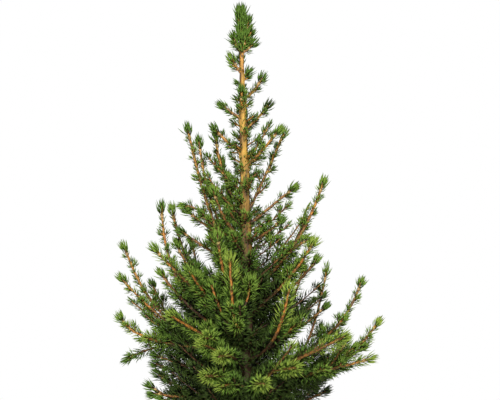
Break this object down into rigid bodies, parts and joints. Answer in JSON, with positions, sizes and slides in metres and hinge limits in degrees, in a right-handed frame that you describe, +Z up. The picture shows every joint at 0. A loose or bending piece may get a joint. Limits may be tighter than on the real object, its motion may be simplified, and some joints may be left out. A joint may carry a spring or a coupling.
{
  "type": "potted dwarf spruce",
  "caption": "Young dwarf spruce of upright conical form, with a straight trunk, upswept boughs and short needled shoots, in a plain round clay pot filled with soil.",
  "frame": {"origin": "middle of the pot's flat underside", "axes": "+Z up along the trunk, -Y towards the side that the picture shows, +X to that view's right"},
  "size_m": [0.2489, 0.226, 0.545],
  "materials": {
    "clay": "matte",
    "soil": "matte",
    "bark": "matte",
    "needles": "satin"
  },
  "bodies": {
    "root": {"pot": "clay", "soil": "soil", "trunk": "bark", "left_high_bough": "bark", "left_back_high_bough": "bark", "left_front_mid_bough": "bark", "left_mid_bough": "bark", "left_low_bough": "bark", "left_skirt_bough": "bark", "right_high_bough": "bark", "right_mid_bough": "bark", "right_low_bough": "bark", "right_skirt_bough": "bark", "right_front_low_bough": "bark", "front_high_bough": "bark", "front_right_bough": "bark", "front_left_bough": "bark", "front_low_bough": "bark", "front_skirt_bough": "bark", "back_high_bough": "bark", "back_right_bough": "bark", "back_left_bough": "bark", "back_low_bough": "bark", "back_skirt_bough": "bark", "leading_shoot_foliage": "needles", "crown_right_top_foliage": "needles", "crown_left_top_foliage": "needles", "crown_front_foliage": "needles", "crown_right_mid_foliage": "needles", "crown_back_foliage": "needles", "crown_left_mid_foliage": "needles", "crown_right_low_foliage": "needles", "upper_left_foliage": "needles", "upper_right_foliage": "needles", "upper_right_front_foliage": "needles", "upper_right_back_foliage": "needles", "upper_left_back_foliage": "needles", "upper_left_front_foliage": "needles", "upper_front_foliage": "needles", "left_high_foliage": "needles", "left_back_high_foliage": "needles", "left_front_mid_foliage": "needles", "left_mid_foliage": "needles", "left_low_foliage": "needles", "left_skirt_foliage": "needles", "right_high_foliage": "needles", "right_mid_foliage": "needles", "right_low_foliage": "needles", "right_skirt_foliage": "needles", "right_front_low_foliage": "needles", "front_high_foliage": "needles", "front_right_foliage": "needles", "front_left_foliage": "needles", "front_low_foliage": "needles", "front_skirt_foliage": "needles", "back_high_foliage": "needles", "back_right_foliage": "needles", "back_left_foliage": "needles", "back_low_foliage": "needles", "back_skirt_foliage": "needles"}
  },
  "joints": []
}
